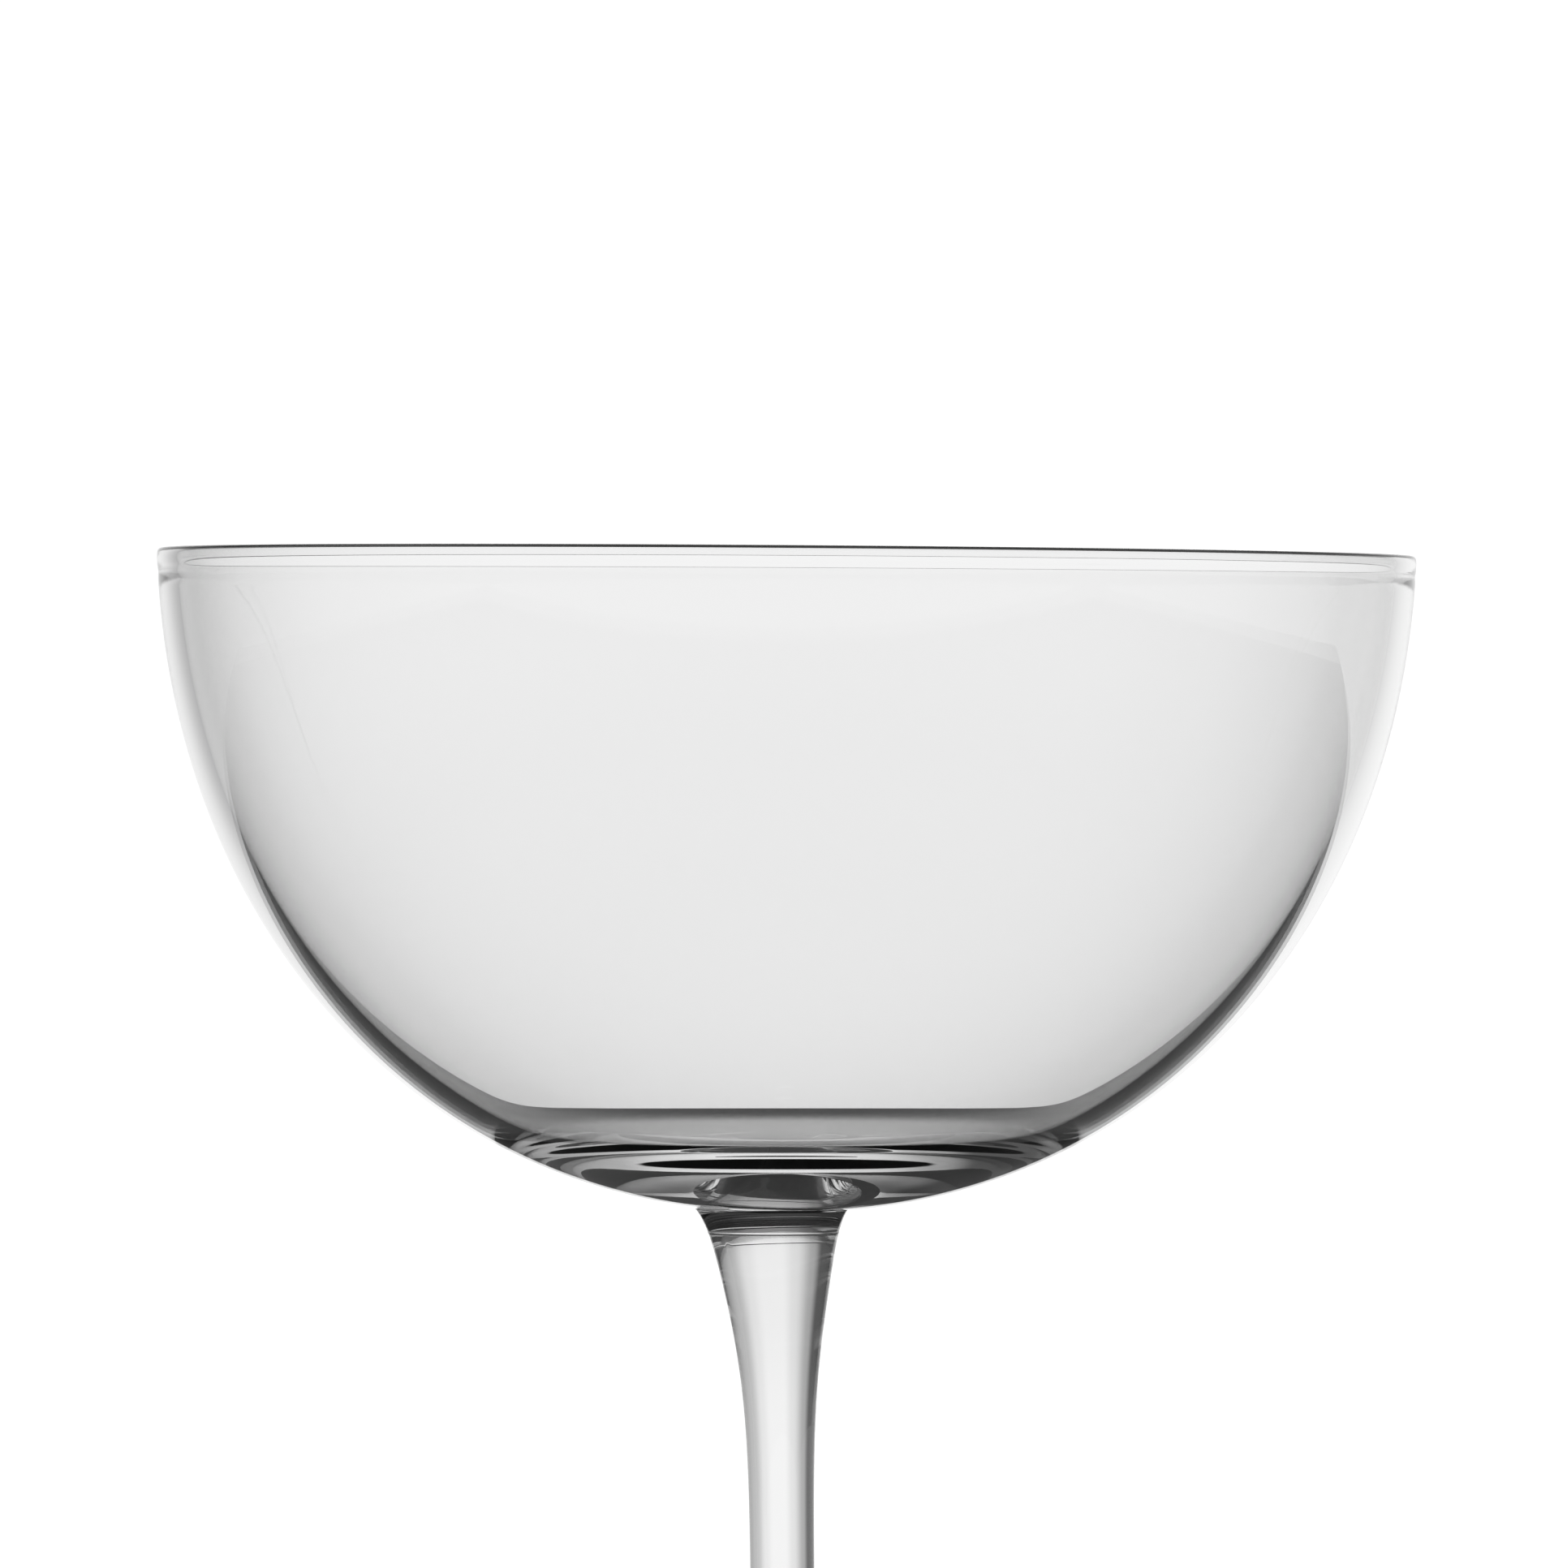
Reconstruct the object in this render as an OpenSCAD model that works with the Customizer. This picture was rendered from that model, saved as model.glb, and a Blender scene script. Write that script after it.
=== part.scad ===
// Martini glass: a thin blown bowl, a short glass button, a drawn stem and a disc foot, fused by heat.
// Units are millimetres. The origin is the middle of the foot's underside and +Z points up the axis.

/* [Overall] */
// Height from the table to the top of the rim
total_h = 165; // [150:1:190]

/* [Bowl] */
// Outer diameter of the rim
rim_d = 110; // [95:1:120]
// Height of the bowl, from the bottom of its curve to the top of the rim
bowl_h = 58.1; // [50:0.1:65]
// Squareness of the bowl's outer curve, where 2 is an ellipse
curve_power = 2.11; // [2:0.01:2.4]
// Height of the curve's widest level above the top of the rim
curve_over = 2.9; // [1:0.1:8]
// Glass thickness of the wall where it leaves the bottom
wall_t = 2.05; // [1.5:0.05:2.5]
// Glass thickness of the wall at the rim
rim_wall_t = 1.75; // [1.2:0.05:2.5]
// Glass thickness at the middle of the bottom
base_t = 6.3; // [4:0.1:8]
// Rise of the inside's nearly flat floor, per millimetre out from the axis, squared
dish = 0.0005; // [0:0.0005:0.004]
// Softness of the turn from the floor into the wall
corner = 0.5; // [0.1:0.1:1]
// Height of the rounded, fire-polished top of the rim
bead_h = 0.9; // [0.5:0.1:1.5]

/* [Button] */
// Height of the button between the bowl and the stem
button_h = 2.1; // [1.5:0.1:4]
// Extra radius that flows out where the button meets the bowl
lip_w = 1.3; // [0.8:0.1:1.8]
// Length over which that lip dies away
lip_l = 1.9; // [1.2:0.1:2.5]

/* [Stem] */
// Diameter of the stem's slender middle
stem_d = 5.6; // [5:0.1:8]
// Extra radius of the stem's flare towards the bowl
flare_w = 2.6; // [1.5:0.1:3.5]
// Length over which the stem widens towards the bowl
flare_l = 12; // [8:0.5:16]
// Radius of the stem where it meets the foot
stem_low_r = 9; // [6:0.5:11]
// Length over which the stem widens towards the foot
low_flare_l = 4; // [3:0.5:8]

/* [Foot] */
// Diameter of the foot
foot_d = 78; // [65:1:90]
// Glass thickness at the foot's edge
foot_edge_t = 2; // [1.5:0.1:3]
// Height of the foot where the stem starts
foot_mid_h = 5; // [4:0.1:7]
// Width of the flat ring that the foot stands on
rest_w = 5; // [3:0.5:10]
// Depth of the hollow under the middle of the foot
hollow_d = 1.2; // [0.5:0.1:1.5]

/* [Hidden] */
$fn = 120;
glass = [0.86, 0.9, 0.9, 0.35];
bowl_steps = 60;
bead_steps = 8;
button_steps = 6;
stem_steps = 40;
foot_steps = 16;
flare_power = 1.8;
foot_power = 5;
blend_end = 30;

bottom_z = total_h - bowl_h;
curve_b = bowl_h + curve_over;
bead_u = (curve_over + bead_h) / curve_b;
curve_a = rim_d / 2 / pow(1 - pow(bead_u, curve_power), 1 / curve_power);
rim_t = acos(pow(bead_u, curve_power / 2));

stem_r = stem_d / 2;
lip_r = stem_r + flare_w + lip_w;
lip_t = asin(pow(lip_r / curve_a, curve_power / 2));

foot_r = foot_d / 2;
edge_r = foot_edge_t / 2;
rest_in_r = foot_r - edge_r - rest_w;

// Outer curve of the bowl, at an angle of 0 at its bottom and 90 at its widest level.
function out_r(t) = curve_a * pow(sin(t), 2 / curve_power);
function out_z(t) = bottom_z + curve_b * (1 - pow(cos(t), 2 / curve_power));
function slope(t) = atan(curve_b / curve_a * pow(tan(t), 2 - 2 / curve_power));
// Glass thickness, measured square to the outer curve, and the inner wall that it gives.
function wall(t) = mix(wall_t, rim_wall_t, pow(t / rim_t, 3));
function in_r(t) = max(0, out_r(t) - wall(t) * sin(slope(t)));
function wall_z(t) = out_z(t) + wall(t) * cos(slope(t));
// Level of the inside: the floor of the thick bottom, which turns softly into the inner wall.
function floor_z(r) = bottom_z + base_t + dish * r * r;
function blend(above) = above > blend_end ? above : ln(1 + exp(above));
function in_z(t) = let (low = floor_z(in_r(t))) low + corner * blend((wall_z(t) - low) / corner);
// Radius of the button and the stem's upper flare, at a depth below the bowl.
function neck_r(d) = stem_r + flare_w * exp(-pow(d / flare_l, flare_power)) + lip_w * exp(-d / lip_l);
// Radius of the stem's lower flare, at a height above the foot.
function root_r(h) = stem_r + (stem_low_r - stem_r) * exp(-h / low_flare_l);
function mix(a, b, f) = a + (b - a) * f;
// A share of 0 to 1, with its steps closer together near both ends.
function eased(f) = (1 - cos(180 * f)) / 2;

bead_mid_r = (out_r(rim_t) + in_r(rim_t)) / 2;
bead_half_w = (out_r(rim_t) - in_r(rim_t)) / 2;
bead_z = out_z(rim_t);
button_z = out_z(lip_t);
stem_z = button_z - button_h;

// A solid of revolution, from its outline to the right of the axis.
module turned(outline) {
    color(glass)
        rotate_extrude()
            polygon(outline);
}

module bowl() {
    outer = [for (i = [0:bowl_steps]) let (t = mix(lip_t, rim_t, i / bowl_steps)) [out_r(t), out_z(t)]];
    bead = [for (i = [1:bead_steps - 1]) let (t = 180 * i / bead_steps)
        [bead_mid_r + bead_half_w * cos(t), bead_z + bead_h * sin(t)]];
    inner = [for (i = [0:bowl_steps]) let (t = mix(rim_t, 0, i / bowl_steps)) [in_r(t), in_z(t)]];
    turned(concat([[0, button_z]], outer, bead, inner));
}

module button() {
    side = [for (i = [0:button_steps]) let (h = button_h * i / button_steps)
        [neck_r(button_h - h), stem_z + h]];
    turned(concat([[0, stem_z]], side, [[0, button_z]]));
}

module stem() {
    span = stem_z - foot_mid_h;
    side = [for (i = [0:stem_steps]) let (h = span * eased(i / stem_steps))
        [max(root_r(h), neck_r(button_h + span - h)), foot_mid_h + h]];
    turned(concat([[0, foot_mid_h]], side, [[0, stem_z]]));
}

module foot() {
    hollow = [for (i = [0:foot_steps]) let (f = i / foot_steps) [rest_in_r * f, hollow_d * (1 - pow(f, 2))]];
    edge = [for (i = [0:bead_steps]) let (t = 180 * i / bead_steps - 90)
        [foot_r - edge_r + edge_r * cos(t), edge_r + edge_r * sin(t)]];
    top = [for (i = [1:foot_steps]) let (f = i / foot_steps)
        [mix(foot_r - edge_r, stem_low_r, f), mix(foot_edge_t, foot_mid_h, pow(f, foot_power))]];
    turned(concat(hollow, edge, top, [[0, foot_mid_h]]));
}

bowl();
button();
stem();
foot();
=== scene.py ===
"""A martini glass of clear, heat-fused glass: bowl, button, stem and foot, each a turned piece."""

import math

import bmesh
import bpy
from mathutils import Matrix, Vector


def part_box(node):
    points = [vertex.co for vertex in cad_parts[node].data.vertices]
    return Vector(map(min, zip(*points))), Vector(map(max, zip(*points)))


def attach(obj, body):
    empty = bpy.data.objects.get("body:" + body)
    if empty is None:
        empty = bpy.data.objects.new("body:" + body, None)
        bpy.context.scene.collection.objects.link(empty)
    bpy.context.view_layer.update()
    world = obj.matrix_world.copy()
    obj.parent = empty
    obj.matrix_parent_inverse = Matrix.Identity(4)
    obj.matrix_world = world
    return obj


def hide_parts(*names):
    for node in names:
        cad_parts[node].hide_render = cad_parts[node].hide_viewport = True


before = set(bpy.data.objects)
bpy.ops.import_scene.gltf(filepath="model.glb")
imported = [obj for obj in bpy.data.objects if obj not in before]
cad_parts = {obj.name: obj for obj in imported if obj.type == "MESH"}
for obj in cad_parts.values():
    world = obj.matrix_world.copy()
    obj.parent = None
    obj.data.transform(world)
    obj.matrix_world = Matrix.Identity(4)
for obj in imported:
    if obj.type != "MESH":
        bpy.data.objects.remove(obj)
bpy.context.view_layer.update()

# ---------------------------------------------------------------- sizes, in millimetres
MM = 0.001
CURVE_POWER = 2.11  # squareness of the bowl's outer curve
CURVE_OVER = 2.9  # the curve's widest level is this far above the rim
WALL = 2.05  # glass thickness of the bowl's wall
RIM_WALL = 1.75  # and just below the rim
BASE = 6.3  # glass thickness at the middle of the bowl's bottom
DISH = 0.0005  # how the inside's floor rises from there, per millimetre out, squared
CORNER = 0.5  # how softly the floor runs into the wall
BLEND_END = 30  # this many CORNERs above the floor, the wall is on its own
RIM_WALL_POWER = 3  # how late, going up, the wall thins to its rim thickness
BEAD_H = 0.9  # height of the rounded top of the rim
BEAD_SQUARE = 0.5  # below 1 it is squarer than round
PINCH, PINCH_DEPTH, PINCH_HALF = 0.06, 2.2, 0.3  # the slight neck under the rim's bead
STEM_R = 2.8
FLARE_W, FLARE_L, FLARE_POWER = 2.6, 12.0, 1.8  # the stem's flare towards the bowl
LIP_W, LIP_L = 1.3, 1.9  # the button's lip under the bowl
RIDGE, RIDGE_HALF, RIDGE_TOP = 0.04, 0.06, 0.1  # the joints' ridges, and the upper one's depth under the bowl
LOW_R, LOW_L = 9.0, 4.0  # the stem's flare towards the foot
FOOT_EDGE, FOOT_POWER, REST_W, HOLLOW = 2.0, 5.0, 5.0, 1.2
NECK_SHIFT, NECK_SHIFT_L = 0.9, 12.0  # the stem was set this far off the axis and runs back to it
STEM_SHIFT = 0.4
SEAM, SEAM_AT, SEAM_HALF = 0.06, -139.0, 3.0  # the stem's mould seam: height, place and half width in degrees
SEAM_END = 1.5  # it fades out over this length under the button
RIM_TILT = math.radians(0.4)  # the rim was cut a little out of level
RIM_TILT_DEPTH = 12.0  # and that dies away this far below it

SEGMENTS = 256  # points round each ring of a mesh
BOWL_STEPS, BEAD_STEPS = 150, 28  # points along each outline
BUTTON_STEPS, STEM_STEPS = 48, 190
STEM_CROWDING = 1.2  # above 1, the stem's points crowd more towards its foot
FOOT_STEPS, EDGE_STEPS = 60, 24
LIP_DROP, LIP_ROUNDS = 0.42, 20  # first guess and rounds for how far the lip lies above the bottom
CREASE = math.radians(25)  # an edge sharper than this isn't shaded smooth
AT_AXIS = 1e-6  # an outline point nearer the axis than this is a pole
SAME_LEVEL = 1e-4


def node_levels(name):
    """Lowest and highest level of a CAD node, and its radius, in millimetres."""
    low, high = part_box(name)
    return low.z / MM, high.z / MM, high.x / MM


_, RIM_Z, RIM_R = node_levels("bowl")
BUTTON_LOW, BUTTON_TOP, LIP_R = node_levels("button")
STEM_LOW, STEM_TOP, _ = node_levels("stem")
FOOT_LOW, FOOT_TOP, FOOT_R = node_levels("foot")


# ---------------------------------------------------------------- outlines
def mix(a, b, f):
    return a + (b - a) * f


class BowlCurve:
    """The bowl's outer superellipse and the inner curve that its glass thickness gives."""

    def __init__(self):
        lip_drop = LIP_DROP
        for _ in range(LIP_ROUNDS):
            self.bottom = BUTTON_TOP - lip_drop
            self.depth = RIM_Z - self.bottom + CURVE_OVER
            level = (CURVE_OVER + BEAD_H) / self.depth
            self.radius = RIM_R / (1 - level**CURVE_POWER) ** (1 / CURVE_POWER)
            self.lip_t = math.asin((LIP_R / self.radius) ** (CURVE_POWER / 2))
            lip_drop = self.depth * (1 - math.cos(self.lip_t) ** (2 / CURVE_POWER))
        self.rim_t = math.acos(level ** (CURVE_POWER / 2))

    def outer(self, t):
        r = self.radius * math.sin(t) ** (2 / CURVE_POWER)
        z = self.bottom + self.depth * (1 - math.cos(t) ** (2 / CURVE_POWER))
        return r, z

    def slope(self, t):
        return math.atan(self.depth / self.radius * math.tan(t) ** (2 - 2 / CURVE_POWER))

    def inner(self, t):
        r, z = self.outer(t)
        slope = self.slope(t)
        wall = mix(WALL, RIM_WALL, (t / self.rim_t) ** RIM_WALL_POWER)
        r, z = max(0.0, r - wall * math.sin(slope)), z + wall * math.cos(slope)
        floor_z = self.bottom + BASE + DISH * r * r
        above = (z - floor_z) / CORNER
        return r, floor_z + CORNER * (above if above > BLEND_END else math.log1p(math.exp(above)))


def pinch(z):
    return PINCH * math.exp(-(((RIM_Z - z - PINCH_DEPTH) / PINCH_HALF) ** 2))


def bowl_outline():
    curve = BowlCurve()
    outer = [curve.outer(mix(curve.lip_t, curve.rim_t, i / BOWL_STEPS)) for i in range(BOWL_STEPS + 1)]
    out_r, bead_z = outer[-1]
    in_r = curve.inner(curve.rim_t)[0]
    middle, half = (out_r + in_r) / 2, (out_r - in_r) / 2
    bead = []
    for i in range(1, BEAD_STEPS):
        across, up = math.cos(math.pi * i / BEAD_STEPS), math.sin(math.pi * i / BEAD_STEPS)
        across = math.copysign(abs(across) ** BEAD_SQUARE, across)
        bead.append((middle + half * across, bead_z + BEAD_H * up**BEAD_SQUARE))
    inner = [curve.inner(curve.rim_t * (1 - i / BOWL_STEPS)) for i in range(BOWL_STEPS + 1)]
    outer = [(r - pinch(z), z) for r, z in outer]
    inner = [(r + pinch(z), z) for r, z in inner]
    return [(0.0, BUTTON_TOP)] + outer + bead + inner


def neck_radius(depth):
    """The button and stem under the bowl, with a fine ridge round each of the two fused joints."""
    flare = FLARE_W * math.exp(-((depth / FLARE_L) ** FLARE_POWER))
    levels = (RIDGE_TOP, BUTTON_TOP - BUTTON_LOW)
    ridges = sum(math.exp(-(((depth - level) / RIDGE_HALF) ** 2)) for level in levels)
    return STEM_R + flare + LIP_W * math.exp(-depth / LIP_L) + RIDGE * ridges


def button_outline():
    height = BUTTON_TOP - BUTTON_LOW
    side = []
    for i in range(BUTTON_STEPS + 1):
        rise = height * i / BUTTON_STEPS
        side.append((neck_radius(height - rise), BUTTON_LOW + rise))
    return [(0.0, BUTTON_LOW)] + side + [(0.0, BUTTON_TOP)]


def stem_outline():
    span = STEM_TOP - STEM_LOW
    button = BUTTON_TOP - BUTTON_LOW
    side = []
    for i in range(STEM_STEPS + 1):
        rise = span * math.sin(math.pi / 2 * i / STEM_STEPS) ** STEM_CROWDING
        root = STEM_R + (LOW_R - STEM_R) * math.exp(-rise / LOW_L)
        side.append((max(root, neck_radius(button + span - rise)), STEM_LOW + rise))
    return [(0.0, STEM_LOW)] + side + [(0.0, STEM_TOP)]


def foot_outline():
    edge_r = FOOT_EDGE / 2
    rest_in = FOOT_R - edge_r - REST_W
    hollow = []
    for i in range(FOOT_STEPS + 1):
        f = i / FOOT_STEPS
        hollow.append((rest_in * f, FOOT_LOW + HOLLOW * (1 - f * f)))
    edge = []
    for i in range(EDGE_STEPS + 1):
        angle = math.pi * (i / EDGE_STEPS - 0.5)
        edge.append((FOOT_R - edge_r + edge_r * math.cos(angle), FOOT_LOW + edge_r * (1 + math.sin(angle))))
    top = []
    for i in range(1, FOOT_STEPS + 1):
        f = i / FOOT_STEPS
        top.append((mix(FOOT_R - edge_r, LOW_R, f), mix(FOOT_LOW + FOOT_EDGE, FOOT_TOP, f**FOOT_POWER)))
    return hollow + edge + top + [(0.0, FOOT_TOP)]


# ---------------------------------------------------------------- small irregularities of the handmade glass
def neck_offset(z):
    """Sideways place of the stem and button at a level: set off the axis at the bowl, on it at the foot."""
    depth = BUTTON_TOP - z
    along = max(0.0, min(1.0, (z - STEM_LOW) / (STEM_TOP - STEM_LOW)))
    settle = along * along * (3 - 2 * along)
    return -STEM_SHIFT * settle - NECK_SHIFT * math.exp(-max(0.0, depth) / NECK_SHIFT_L)


def lean_neck(x, y, z):
    radius = math.hypot(x, y)
    if radius > STEM_R / 2:
        turn = (math.degrees(math.atan2(y, x)) - SEAM_AT) / SEAM_HALF
        fade = max(0.0, min(1.0, (STEM_TOP - z) / SEAM_END))
        grown = 1 + SEAM * fade * math.exp(-turn * turn) / radius
        x, y = x * grown, y * grown
    return x + neck_offset(z), y, z


def tilt_rim(x, y, z):
    near = max(0.0, 1 - (RIM_Z - z) / RIM_TILT_DEPTH)
    drop = (x + RIM_R) * math.tan(RIM_TILT)
    return x, y, z - drop * near * near


def straight(x, y, z):
    return x, y, z


# ---------------------------------------------------------------- turned meshes
def turned(name, outline, place, contacts, glass, fused):
    """A closed solid of revolution. Flat ends at the contact levels are fused to the next piece."""
    mesh_data = bmesh.new()
    rings = []
    for r, z in outline:
        if r < AT_AXIS:
            x, y, h = place(0.0, 0.0, z)
            rings.append([mesh_data.verts.new((x * MM, y * MM, h * MM))])
            continue
        ring = []
        for k in range(SEGMENTS):
            angle = 2 * math.pi * k / SEGMENTS
            x, y, h = place(r * math.cos(angle), r * math.sin(angle), z)
            ring.append(mesh_data.verts.new((x * MM, y * MM, h * MM)))
        rings.append(ring)
    for (low, high), (a, b) in zip(zip(outline, outline[1:]), zip(rings, rings[1:])):
        is_contact = any(max(abs(low[1] - c), abs(high[1] - c)) < SAME_LEVEL for c in contacts)
        for k in range(SEGMENTS):
            n = (k + 1) % SEGMENTS
            if len(a) == 1:
                corners = (a[0], b[n], b[k])
            elif len(b) == 1:
                corners = (a[k], a[n], b[0])
            else:
                corners = (a[k], a[n], b[n], b[k])
            face = mesh_data.faces.new(corners)
            face.smooth = True
            face.material_index = 1 if is_contact else 0
    bmesh.ops.recalc_face_normals(mesh_data, faces=mesh_data.faces)
    for edge in mesh_data.edges:
        edge.smooth = edge.calc_face_angle(0.0) < CREASE
    mesh = bpy.data.meshes.new(name)
    mesh_data.to_mesh(mesh)
    mesh_data.free()
    mesh.materials.append(glass)
    mesh.materials.append(fused)
    piece = bpy.data.objects.new(name, mesh)
    bpy.context.scene.collection.objects.link(piece)
    return piece


# ---------------------------------------------------------------- materials
class Nodes:
    """Short calls for building node trees."""

    def __init__(self, tree):
        self.tree = tree

    def add(self, kind, **inputs):
        node = self.tree.nodes.new(kind)
        for name, value in inputs.items():
            self.put(node.inputs[name.replace("_", " ")], value)
        return node

    def put(self, socket, value):
        if isinstance(value, bpy.types.NodeSocket):
            self.tree.links.new(value, socket)
        else:
            socket.default_value = value

    def math(self, operation, *values):
        node = self.tree.nodes.new("ShaderNodeMath")
        node.operation = operation
        for socket, value in zip(node.inputs, values):
            self.put(socket, value)
        return node.outputs[0]

    def ramp(self, value, stops):
        """Brightness that eases between (place, brightness) stops."""
        low, high = stops[0][0], stops[-1][0]
        node = self.tree.nodes.new("ShaderNodeValToRGB")
        self.put(node.inputs[0], self.math("DIVIDE", self.math("SUBTRACT", value, low), high - low))
        ramp = node.color_ramp
        ramp.interpolation = "EASE"
        ramp.elements.remove(ramp.elements[-1])
        for i, (place, brightness) in enumerate(stops):
            stop = ramp.elements[0] if i == 0 else ramp.elements.new((place - low) / (high - low))
            stop.position = (place - low) / (high - low)
            stop.color = (brightness, brightness, brightness, 1)
        return node.outputs[0]


def principled(name):
    material = bpy.data.materials.new(name)
    material.use_nodes = True
    return material, material.node_tree, material.node_tree.nodes["Principled BSDF"]


IOR = 1.5
WAVE_SCALE, WAVE_DETAIL, WAVE_HEIGHT = 45, 1, 0.000004  # metres high


def clear_glass(name):
    """Clear glass with a fire-polished surface: very shallow waves and nothing else."""
    material, tree, shader = principled(name)
    nodes = Nodes(tree)
    nodes.put(shader.inputs["Base Color"], (1, 1, 1, 1))
    nodes.put(shader.inputs["Transmission Weight"], 1)
    nodes.put(shader.inputs["Roughness"], 0)
    nodes.put(shader.inputs["IOR"], IOR)
    place = nodes.add("ShaderNodeTexCoord").outputs["Object"]
    waves = nodes.add("ShaderNodeTexNoise", Vector=place, Scale=WAVE_SCALE, Detail=WAVE_DETAIL)
    bump = nodes.add("ShaderNodeBump", Strength=1, Distance=WAVE_HEIGHT, Height=waves.outputs["Fac"])
    nodes.put(shader.inputs["Normal"], bump.outputs["Normal"])
    return material


def fused_face():
    """The face where two pieces became one: nothing is left to see there."""
    material, _, shader = principled("fused_face")
    shader.inputs["Alpha"].default_value = 0
    return material


GRAIN_SCALE, GRAIN_DETAIL = 140, 4
TABLE_TONE = [(0.0, .09), (1.0, .14)]
TABLE_ROUGH, GRAIN_ROUGH = 0.5, 0.2  # the roughness, and how much the grain adds to it


def table_top():
    """Matt dark laminate with a fine, slightly uneven grain."""
    material, tree, shader = principled("table_top")
    nodes = Nodes(tree)
    place = nodes.add("ShaderNodeTexCoord").outputs["Object"]
    grain = nodes.add("ShaderNodeTexNoise", Vector=place, Scale=GRAIN_SCALE, Detail=GRAIN_DETAIL)
    rough = nodes.math("MULTIPLY", grain.outputs["Fac"], GRAIN_ROUGH)
    nodes.put(shader.inputs["Base Color"], nodes.ramp(grain.outputs["Fac"], TABLE_TONE))
    nodes.put(shader.inputs["Roughness"], nodes.math("ADD", TABLE_ROUGH, rough))
    return material


# ---------------------------------------------------------------- surroundings
# brightness by direction: (degrees, brightness), where 0 is straight behind the glass and level
SKY_ROUND = [(-180, .4), (-120, .4), (-90, .25), (-70, .11), (-42, .11), (-30, .42), (-14, .8), (-4, .95),
             (10, .95), (20, .85), (35, .58), (60, .5), (180, .4)]
SKY_UP = [(-90, .05), (-30, .1), (-12, 1), (0, 1), (12, .95), (35, .35), (60, .06), (90, .03)]
BACKDROP_BOOST = 0.14  # the backdrop itself is this much brighter than the light it gives
TABLE = (-0.9, -0.6, -0.03), (0.9, 0.6, -0.0002)  # its lowest and highest corner, in metres
LAMP_SIZE, LAMP_POWER = 0.4, 0.6  # metres, watts
LAMP_SPREAD, LAMP_TURN = math.radians(75), math.radians(12)
LAMP_PLACE = (0, -0.5, 0.9)


def studio_light():
    """A white backdrop behind the glass that falls off to the sides, with a dark flag on the left."""
    world = bpy.data.worlds.new("studio")
    world.use_nodes = True
    bpy.context.scene.world = world
    tree = world.node_tree
    nodes = Nodes(tree)
    place = nodes.add("ShaderNodeTexCoord")
    split = nodes.add("ShaderNodeSeparateXYZ", Vector=place.outputs["Generated"])
    x, y, z = split.outputs
    degrees = 180 / math.pi
    azimuth = nodes.math("MULTIPLY", nodes.math("ARCTAN2", x, y), degrees)
    elevation = nodes.math("MULTIPLY", nodes.math("ARCSINE", z), degrees)
    level = nodes.math("MULTIPLY", nodes.ramp(azimuth, SKY_ROUND), nodes.ramp(elevation, SKY_UP))
    path = nodes.add("ShaderNodeLightPath")
    boost = nodes.math("ADD", 1.0, nodes.math("MULTIPLY", path.outputs["Is Camera Ray"], BACKDROP_BOOST))
    background = tree.nodes["Background"]
    tree.links.new(nodes.math("MULTIPLY", level, boost), background.inputs["Color"])


def table():
    """The dark table that the glass stands on. Its far edge lies below what the camera sees."""
    (left, front, low), (right, back, high) = TABLE
    mesh_data = bmesh.new()
    bmesh.ops.create_cube(mesh_data, size=1)
    mesh = bpy.data.meshes.new("table")
    mesh_data.to_mesh(mesh)
    mesh_data.free()
    mesh.materials.append(table_top())
    top = bpy.data.objects.new("table", mesh)
    top.location = ((left + right) / 2, (front + back) / 2, (low + high) / 2)
    top.scale = (right - left, back - front, high - low)
    bpy.context.scene.collection.objects.link(top)


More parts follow.
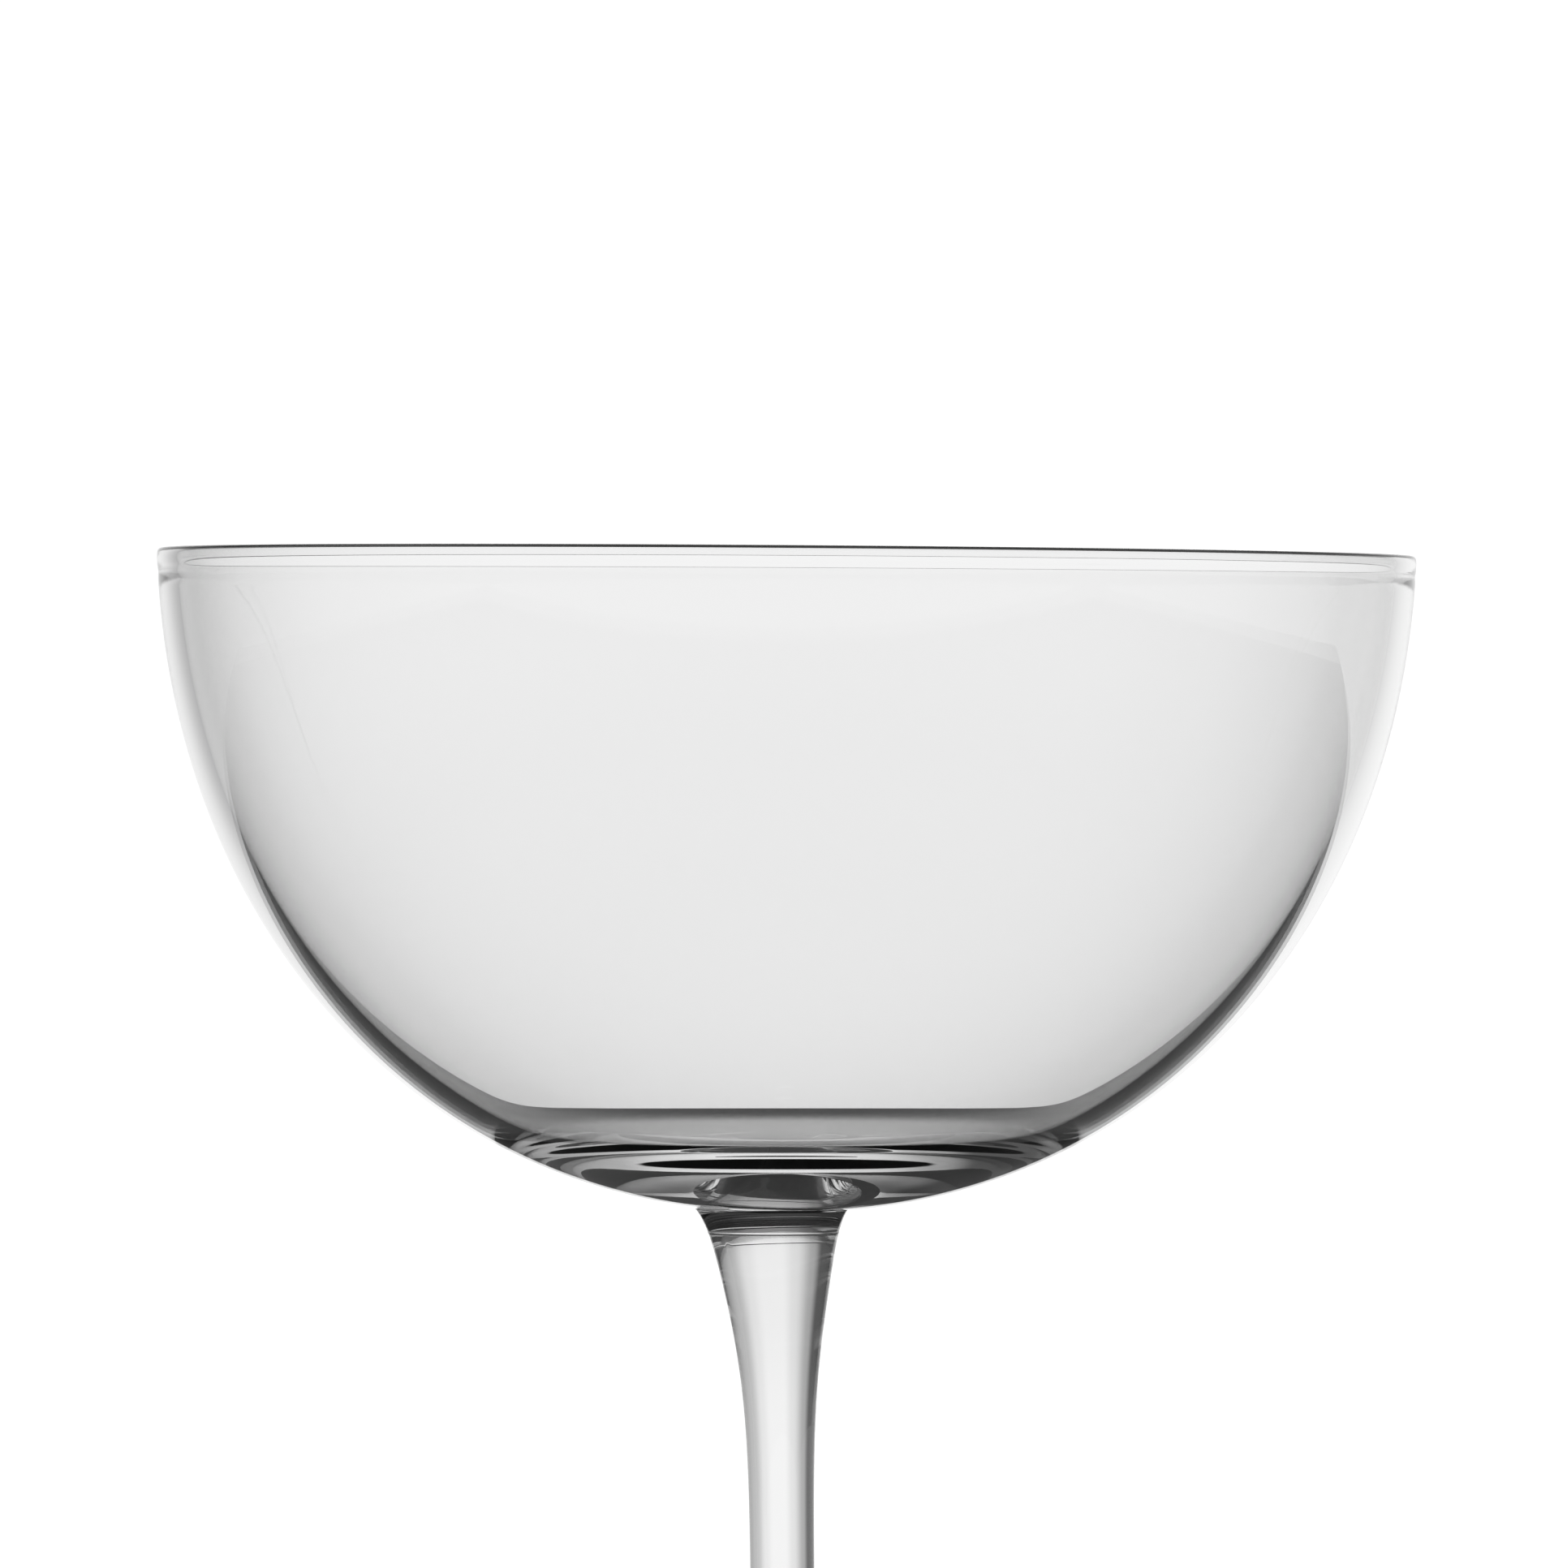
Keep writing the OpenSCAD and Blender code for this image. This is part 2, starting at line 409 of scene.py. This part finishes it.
def front_light():
    """A softbox above and in front of the glass, which lights the table and isn't seen in the glass."""
    lamp = bpy.data.lights.new("front_light", "AREA")
    lamp.shape = "SQUARE"
    lamp.size = LAMP_SIZE
    lamp.spread = LAMP_SPREAD
    lamp.energy = LAMP_POWER
    box = bpy.data.objects.new("front_light", lamp)
    box.location = LAMP_PLACE
    box.rotation_euler = (LAMP_TURN, 0, 0)
    box.visible_glossy = False
    box.visible_transmission = False
    bpy.context.scene.collection.objects.link(box)


# ---------------------------------------------------------------- camera
CAMERA_DISTANCE = 1.4  # metres from the axis
SENSOR, CLIP_START = 36, 0.01
VIEW_SIDE = 137.0  # millimetres that the picture spans at the glass
HORIZON = 0.461  # the camera's own level, as a share of the picture's height from its top
JOINT = 0.7707  # the level where the bowl meets the button, the same way
AXIS = 0.502  # the glass's axis, as a share of the picture's width from its left


def camera():
    data = bpy.data.cameras.new("camera")
    view = bpy.data.objects.new("camera", data)
    bpy.context.scene.collection.objects.link(view)
    height = BUTTON_TOP + (JOINT - HORIZON) * VIEW_SIDE
    view.location = ((0.5 - AXIS) * VIEW_SIDE * MM, -CAMERA_DISTANCE, height * MM)
    view.rotation_euler = (math.pi / 2, 0, 0)
    data.sensor_width = SENSOR
    data.lens = data.sensor_width * CAMERA_DISTANCE / (VIEW_SIDE * MM)
    data.shift_y = HORIZON - 0.5
    data.clip_start = CLIP_START
    bpy.context.scene.camera = view


# ---------------------------------------------------------------- the glass
bowl_glass = clear_glass("bowl_glass")
stem_glass = clear_glass("stem_glass")
fused = fused_face()
PIECES = {
    "bowl": (bowl_outline(), tilt_rim, [BUTTON_TOP], bowl_glass),
    "button": (button_outline(), lean_neck, [BUTTON_LOW, BUTTON_TOP], stem_glass),
    "stem": (stem_outline(), lean_neck, [STEM_LOW, STEM_TOP], stem_glass),
    "foot": (foot_outline(), straight, [FOOT_TOP], stem_glass),
}
for node, (outline, place, contacts, glass) in PIECES.items():
    piece = turned(node + "_glass", outline, place, contacts, glass, fused)
    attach(piece, "root")
    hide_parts(node)

table()
studio_light()
front_light()
camera()
bpy.context.scene.view_settings.view_transform = "Standard"
bpy.context.scene.cycles.max_bounces = 32
bpy.context.scene.cycles.transmission_bounces = 32
bpy.context.scene.cycles.glossy_bounces = 16
bpy.context.scene.cycles.transparent_max_bounces = 32
